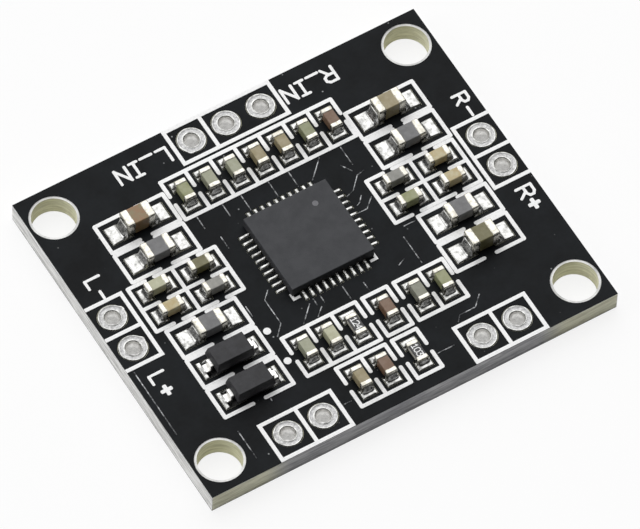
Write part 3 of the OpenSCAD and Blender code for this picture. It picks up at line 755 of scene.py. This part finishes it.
# %% Draw strokes with a round pen
GLYPHS = {
    "L": [[(0, 1), (0, 0), (0.62, 0)]],
    "R": [[(0, 0), (0, 1), (0.5, 1), (0.7, 0.86), (0.7, 0.62), (0.5, 0.48), (0, 0.48)],
          [(0.36, 0.48), (0.7, 0)]],
    "I": [[(0.1, 0), (0.6, 0)], [(0.1, 1), (0.6, 1)], [(0.35, 0), (0.35, 1)]],
    "N": [[(0, 0), (0, 1), (0.7, 0), (0.7, 1)]],
    "_": [[(0, 0), (0.75, 0)]],
    "+": [[(0.04, 0.46), (0.66, 0.46), (0.66, 0.54), (0.04, 0.54)],
          [(0.31, 0.19), (0.31, 0.81), (0.39, 0.81), (0.39, 0.19)]],
    "-": [[(0.0, 0.5), (0.7, 0.5)]],
    "0": [[(0, 0.2), (0, 0.8), (0.2, 1), (0.45, 1), (0.65, 0.8), (0.65, 0.2), (0.45, 0), (0.2, 0),
           (0, 0.2)]],
    "1": [[(0.1, 0.75), (0.35, 1), (0.35, 0)], [(0.1, 0), (0.6, 0)]],
    "2": [[(0, 0.85), (0.15, 1), (0.5, 1), (0.65, 0.85), (0.65, 0.62), (0, 0), (0.65, 0)]],
    "3": [[(0, 1), (0.65, 1), (0.3, 0.58), (0.5, 0.56), (0.65, 0.4), (0.65, 0.18), (0.48, 0), (0.15, 0),
           (0, 0.15)]],
    "4": [[(0.5, 0), (0.5, 1), (0, 0.35), (0.7, 0.35)]]}
PEN_SIDES = 12


def stroke_solid(begin, finish, pen, low, thick):
    """One stroke as a mesh: a circle stretched along the stroke and raised. Millimetres."""
    bm = bmesh.new()
    run = finish - begin
    ring = bmesh.ops.create_circle(bm, cap_ends=True, segments=PEN_SIDES, radius=pen / 2)["verts"]
    far = [vert for vert in ring if vert.co.x > 0]
    bmesh.ops.translate(bm, verts=far, vec=(run.length, 0, 0))
    raised = bmesh.ops.extrude_face_region(bm, geom=bm.faces[:])["geom"]
    top = [item for item in raised if isinstance(item, bmesh.types.BMVert)]
    bmesh.ops.translate(bm, verts=top, vec=(0, 0, thick))
    bmesh.ops.rotate(bm, verts=bm.verts, matrix=Matrix.Rotation(math.atan2(run.y, run.x), 3, "Z"))
    bmesh.ops.translate(bm, verts=bm.verts, vec=(begin.x, begin.y, low))
    bmesh.ops.recalc_face_normals(bm, faces=bm.faces)
    return bm


def word_strokes(word, corner, right, up, height, advance):
    """The strokes of a word as pairs of points: right and up are the page's directions on the board."""
    for index, letter in enumerate(word):
        for path in GLYPHS[letter]:
            points = [corner + right * (x * height + index * advance) + up * (y * height) for x, y in path]
            yield from zip(points, points[1:])


print(len(GLYPHS), "signs drawn with strokes")

# %% Join the strokes and make a piece
def ink_piece(name, strokes, pen, low, thick, material):
    """All the strokes of a print, joined into one skin."""
    work = bpy.data.collections.new("strokes")
    bpy.context.scene.collection.children.link(work)
    parts = []
    for begin, finish in strokes:
        bm = stroke_solid(begin, finish, pen, low, thick)
        mesh = bpy.data.meshes.new("stroke")
        bm.to_mesh(mesh)
        bm.free()
        parts.append(bpy.data.objects.new("stroke", mesh))
        work.objects.link(parts[-1])
    first = parts[0]
    work.objects.unlink(first)
    bpy.context.scene.collection.objects.link(first)
    union = first.modifiers.new("union", "BOOLEAN")
    union.operation = "UNION"
    union.solver = "MANIFOLD"
    union.operand_type = "COLLECTION"
    union.collection = work
    depsgraph = bpy.context.evaluated_depsgraph_get()
    bm = bmesh.new()
    bm.from_mesh(first.evaluated_get(depsgraph).to_mesh())
    for part in parts:
        bpy.data.objects.remove(part)
    bpy.data.collections.remove(work)
    bmesh.ops.scale(bm, verts=bm.verts, vec=(MM, MM, MM))
    return finish_piece(bm, name, [material], smooth=False)


print("strokes are joined by a Boolean")

# %% Print the terminal letters
PRINT_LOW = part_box("printed_legend")[0].z / MM
PRINT_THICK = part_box("printed_legend")[1].z / MM - PRINT_LOW
LETTER_THICK = 0.9 * PRINT_THICK
PEN = 0.2
SIDE_WAY = (Vector((0, -1)), Vector((1, 0)))
TURNED_WAY = (Vector((-1, 0)), Vector((0, -1)))
LEGENDS = [
    ("L+", Vector((-13.7, -2.86)), SIDE_WAY, 1.0, 1.0),
    ("L-", Vector((-13.66, 5.08)), SIDE_WAY, 1.0, 1.06),
    ("R+", Vector((13.15, -2.62)), SIDE_WAY, 1.05, 1.02),
    ("R-", Vector((13.3, 5.3)), SIDE_WAY, 0.95, 1.1),
    ("L_IN", Vector((-4.3, 11.17)), TURNED_WAY, 1.07, 0.98),
    ("R_IN", Vector((7.85, 11.17)), TURNED_WAY, 1.07, 0.98)]
legend_strokes = []
for word, corner, (right, up), height, advance in LEGENDS:
    legend_strokes += word_strokes(word, corner, right, up, height, advance)
letters = ink_piece("terminal_letters", legend_strokes, PEN, PRINT_LOW, LETTER_THICK, ink)
print(letters.name, "from", len(legend_strokes), "strokes,", len(letters.data.polygons), "faces")

# %% [markdown]
# ## Value codes on the resistors
# A chip resistor carries its value as three plain digits in white ink on the glaze. The same pen draws
# them, much finer, along the length of the part.

# %% Print the values
CODES = {"control_resistor_1": "124", "control_resistor_2": "103"}
CODE_PEN, CODE_THICK, CODE_HEIGHT, CODE_ADVANCE = 0.06, 0.008, 0.4, 0.31
DIGIT_WIDTH = 0.65
code_strokes = []
for name, code in CODES.items():
    low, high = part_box(name)
    centre = (low + high) / 2 / MM
    length = CODE_ADVANCE * 2 + CODE_HEIGHT * DIGIT_WIDTH
    corner = Vector((centre.x - CODE_HEIGHT / 2, centre.y + length / 2))
    code_strokes += word_strokes(code, corner, *SIDE_WAY, CODE_HEIGHT, CODE_ADVANCE)
codes = ink_piece("resistor_codes", code_strokes, CODE_PEN, resistor_top / MM, CODE_THICK, ink)
print(codes.name, "from", len(code_strokes), "strokes")

# %% [markdown]
# ## The mark of lead one
# A laser bleaches a round dot near one corner of the chip, so that the chip goes on the right way round.
# It is only a film, so it is a thin disc with a softened rim.

# %% Make the dot
DOT_OFFSET = Vector((1.52, 1.74, 0)) * MM
DOT_RADIUS, DOT_THICK, DOT_TOP = 0.2 * MM, 0.006 * MM, 0.94
bm = bmesh.new()
bmesh.ops.create_cone(bm, cap_ends=True, segments=32, radius1=DOT_RADIUS, radius2=DOT_RADIUS * DOT_TOP,
                      depth=DOT_THICK)
on_chip = Vector((chip_centre.x, chip_centre.y, chip_high.z + DOT_THICK / 2))
bmesh.ops.translate(bm, verts=bm.verts, vec=on_chip + DOT_OFFSET)
dot = finish_piece(bm, "lead_one_dot", [laser_mark], smooth=False)
print(dot.name, "on the chip's top at", round(chip_high.z / MM, 2), "mm")

# %% [markdown]
# ## Traces under the mask
# Copper traces run from the chip to the rows of parts. The mask covers them, but each one lifts it into a
# low ridge whose sides catch the light as a fine line. A curve with a round section follows each route,
# sunk so that only the top of the section stands above the mask. The hidden part is cut away with a plane.

# %% Draw the routes
MASK_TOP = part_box("top_solder_mask")[1].z
RIDGE_RADIUS, RIDGE_RISE = 0.05 * MM, 0.02 * MM
ROUTES = [
    [(-5.15, 5.72), (-5.15, 4.72)], [(-3.3, 5.76), (-3.3, 4.72)], [(-1.95, 5.76), (-1.95, 4.45)],
    [(0.05, 5.76), (0.05, 4.45)], [(1.52, 5.76), (1.52, 4.45)], [(5.3, 5.72), (5.3, 4.15)],
    [(2.45, 4.35), (3.75, 5.65)], [(-4.6, 3.72), (-4.6, 2.72)],
    [(3.75, 2.3), (4.35, 2.5), (5.15, 3.35), (5.7, 3.45)], [(4.6, 4.5), (5.05, 3.75)],
    [(3.95, 1.4), (4.25, 1.55), (4.6, 1.95)], [(3.7, 0.9), (4.4, 0.9), (5.1, 1.55)],
    [(-2.3, -3.25), (-3.4, -4.35)], [(-1.75, -3.8), (-2.35, -4.35)], [(-4.05, -1.1), (-4.6, -1.65)],
    [(-4.6, -1.65), (-4.6, -3.6), (-5.3, -4.35)], [(-1.95, -3.05), (-1.95, -3.6)],
    [(-1.45, -3.05), (-1.45, -3.7)], [(0.1, -3.2), (0.1, -4.35)], [(1.4, -3.6), (1.4, -4.35)],
    [(5.3, -2.0), (5.3, -4.2)], [(3.95, -3.65), (4.5, -3.4)], [(5.7, -1.35), (6.55, -1.35)],
    [(7.2, -7.95), (6.5, -8.65), (5.35, -8.65), (5.0, -9.05)], [(2.65, -10.35), (3.9, -10.35)],
    [(-4.25, -10.6), (-3.7, -10.6)], [(-10.9, -8.95), (-10.9, -11.2)], [(-14.3, -2.1), (-14.3, -7.3)],
    [(-7.95, -7.9), (-7.95, -8.15)], [(-5.87, -1.45), (-5.87, -2.3)]]

print(len(ROUTES), "routes")

# %% Make the ridges
curve = bpy.data.curves.new("routes", "CURVE")
curve.dimensions = "3D"
curve.bevel_depth = RIDGE_RADIUS
curve.bevel_resolution = 3
curve.use_fill_caps = True
for route in ROUTES:
    spline = curve.splines.new("POLY")
    spline.points.add(len(route) - 1)
    for point, (x, y) in zip(spline.points, route):
        point.co = (x * MM, y * MM, MASK_TOP + RIDGE_RISE - RIDGE_RADIUS, 1)
helper = bpy.data.objects.new("routes", curve)
bpy.context.scene.collection.objects.link(helper)
bm = bmesh.new()
bm.from_mesh(helper.evaluated_get(bpy.context.evaluated_depsgraph_get()).to_mesh())
bpy.data.objects.remove(helper)
bmesh.ops.remove_doubles(bm, verts=bm.verts, dist=WELD_DISTANCE)
cut = bmesh.ops.bisect_plane(bm, geom=bm.verts[:] + bm.edges[:] + bm.faces[:],
                             plane_co=(0, 0, MASK_TOP), plane_no=(0, 0, 1), clear_inner=True)["geom_cut"]
cut_edges = [item for item in cut if isinstance(item, bmesh.types.BMEdge)]
bmesh.ops.holes_fill(bm, edges=cut_edges, sides=0)
# The ridges' lacquer carries painted highlights: its near-white blotches stand in for the glints on their
# sides.
ridges = finish_piece(bm, "trace_ridges", [copper_mask_and_glints])
print(ridges.name, "along", len(ROUTES), "routes,", len(ridges.data.polygons), "faces")

# %% [markdown]
# ## The studio
# The board lies on a plain white table under large soft lights. Metal shows only what it mirrors, so the
# lights are broad: one overhead behind the board for the tops of the solder, one at the left for the end
# faces. The floor answers the camera and mirrors with white, but still takes the shadow of the board.

# %% Make the floor
FLOOR_SIZE = 6.0
FLOOR_DROP = 0.02 * MM
floor_mesh = bpy.data.meshes.new("floor")
bm = bmesh.new()
bmesh.ops.create_grid(bm, x_segments=1, y_segments=1, size=FLOOR_SIZE / 2)
bmesh.ops.translate(bm, verts=bm.verts, vec=(0, 0, cad_low.z - FLOOR_DROP))
bm.to_mesh(floor_mesh)
bm.free()
floor = bpy.data.objects.new("floor", floor_mesh)
bpy.context.scene.collection.objects.link(floor)
print(floor.name, FLOOR_SIZE, "m across")

# %% Make the table's paper
FLOOR_GLOW = 0.84
table, tree, shader, place = start("white paper table", Roughness=0.9, Specular_IOR_Level=0.1)
shader.inputs["Base Color"].default_value = linear("#fafafa")
path = add(tree, "ShaderNodeLightPath")
seen = add(tree, "ShaderNodeMath", {"operation": "MAXIMUM"},
           {0: path.outputs["Is Camera Ray"], 1: path.outputs["Is Glossy Ray"]}).outputs[0]
seen = add(tree, "ShaderNodeMath", {"operation": "MAXIMUM"},
           {0: seen, 1: path.outputs["Is Transmission Ray"]}).outputs[0]
share = add(tree, "ShaderNodeMath", {"operation": "MULTIPLY"}, {0: seen, 1: FLOOR_GLOW}).outputs[0]
glow = add(tree, "ShaderNodeEmission", None, {"Color": linear("#ffffff"), "Strength": 1.0})
mixed = add(tree, "ShaderNodeMixShader", None,
            {0: share, 1: shader.outputs["BSDF"], 2: glow.outputs["Emission"]})
tree.links.new(mixed.outputs["Shader"], tree.nodes["Material Output"].inputs["Surface"])
floor_mesh.materials.append(table)
print("material", table.name)

# %% Light the scene
def soft_light(name, place_mm, size_mm, watts):
    """A square soft light that faces the board."""
    data = bpy.data.lights.new(name, "AREA")
    data.size = size_mm * MM
    data.energy = watts
    lamp = bpy.data.objects.new(name, data)
    bpy.context.scene.collection.objects.link(lamp)
    lamp.location = Vector(place_mm) * MM
    lamp.rotation_euler = (-lamp.location).to_track_quat("-Z", "Y").to_euler()
    return lamp


soft_light("overhead", (300, 440, 600), 1000, 3.8)
soft_light("left_side", (-480, 120, 330), 300, 0.75)
print("two soft lights")

# %% [markdown]
# ## The room
# A room is never equally bright all round. Here it is bright behind the board and overhead, and dark in
# front, which is why the front faces of the solder look dark. The world's strength follows how far a
# direction points towards the bright side. No picture of a room is needed for that.

# %% Make the room
BRIGHT_WAY = (0.0, 0.72, 0.69)
ROOM_FROM, ROOM_DARK, ROOM_BRIGHT = 0.36, 0.06, 1.3
world = bpy.data.worlds.new("studio")
bpy.context.scene.world = world
world.use_nodes = True
tree = world.node_tree
sky = tree.nodes["Background"]
sky.inputs["Color"].default_value = linear("#ffffff")
way = add(tree, "ShaderNodeTexCoord").outputs["Generated"]
towards = add(tree, "ShaderNodeVectorMath", {"operation": "DOT_PRODUCT"},
              {0: way, 1: BRIGHT_WAY}).outputs["Value"]
room = add(tree, "ShaderNodeMapRange", None,
           {"Value": towards, "From Min": ROOM_FROM, "From Max": 1,
            "To Min": ROOM_DARK, "To Max": ROOM_BRIGHT}).outputs["Result"]
tree.links.new(room, sky.inputs["Strength"])
bpy.context.scene.view_settings.view_transform = "Standard"
print("a room that is bright behind the board")
